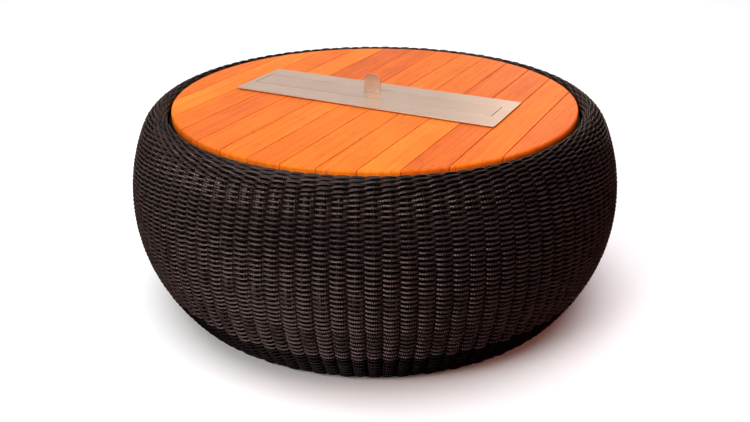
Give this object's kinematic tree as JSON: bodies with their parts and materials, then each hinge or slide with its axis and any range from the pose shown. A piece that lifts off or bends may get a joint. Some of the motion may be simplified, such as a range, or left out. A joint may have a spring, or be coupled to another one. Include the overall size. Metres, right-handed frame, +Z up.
{
  "type": "fire pit coffee table",
  "caption": "Round bulging rope-woven drum table with a teak plank top and a flush lift-off burner whose steel lid has an upright tab.",
  "frame": {"origin": "on the floor at the centre of the drum", "axes": "+Z up, +X along the burner plate, +Y along the teak planks towards the back"},
  "size_m": [1, 1, 0.443],
  "materials": {
    "rope": "braided",
    "frame_coat": "powder coated",
    "teak": "oiled",
    "brushed_steel": "brushed",
    "polished_steel": "polished",
    "fastener_steel": "plain",
    "rubber": "matt",
    "glide_plastic": "moulded",
    "ceramic_wool": "fibrous"
  },
  "bodies": {
    "drum": {"rope_border": "rope", "rope_weave_lower": "rope", "rope_weave_upper": "rope", "rope_rim": "rope", "rope_base_edge": "rope", "top_ring": "frame_coat", "base_ring": "frame_coat", "upper_hoop": "frame_coat", "belly_hoop": "frame_coat", "lower_hoop": "frame_coat", "weaving_stakes": "frame_coat", "top_ledge": "frame_coat", "ledge_gussets": "frame_coat", "rest_pads": "rubber", "foot_brackets": "frame_coat", "floor_glides": "glide_plastic"},
    "tabletop": {"plank_01": "teak", "plank_02": "teak", "plank_03": "teak", "plank_04_front": "teak", "plank_04_back": "teak", "plank_05_front": "teak", "plank_05_back": "teak", "plank_06_front": "teak", "plank_06_back": "teak", "plank_07_front": "teak", "plank_07_back": "teak", "plank_08_front": "teak", "plank_08_back": "teak", "plank_09_front": "teak", "plank_09_back": "teak", "plank_10_front": "teak", "plank_10_back": "teak", "plank_11": "teak", "plank_12": "teak", "plank_13": "teak", "batten_front_outer": "teak", "batten_front_inner": "teak", "batten_back_inner": "teak", "batten_back_outer": "teak", "batten_screws": "fastener_steel", "centring_blocks": "teak"},
    "burner": {"burner_plate": "brushed_steel", "plate_gasket": "rubber", "lid_rest": "brushed_steel", "burner_housing": "brushed_steel", "fuel_tank": "brushed_steel", "ceramic_wool": "ceramic_wool", "wool_grate": "brushed_steel", "tank_saddles": "brushed_steel"},
    "lid": {"flame_lid": "brushed_steel", "tab_handle": "polished_steel"}
  },
  "joints": [
    {"name": "tabletop_lift", "type": "slide", "parent": "drum", "child": "tabletop", "axis": [0, 0, 1], "range_m": [0, 0.15]},
    {"name": "burner_lift", "type": "slide", "parent": "tabletop", "child": "burner", "axis": [0, 0, 1], "range_m": [0, 0.12]},
    {"name": "lid_lift", "type": "slide", "parent": "burner", "child": "lid", "axis": [0, 0, 1], "range_m": [0, 0.06]}
  ]
}
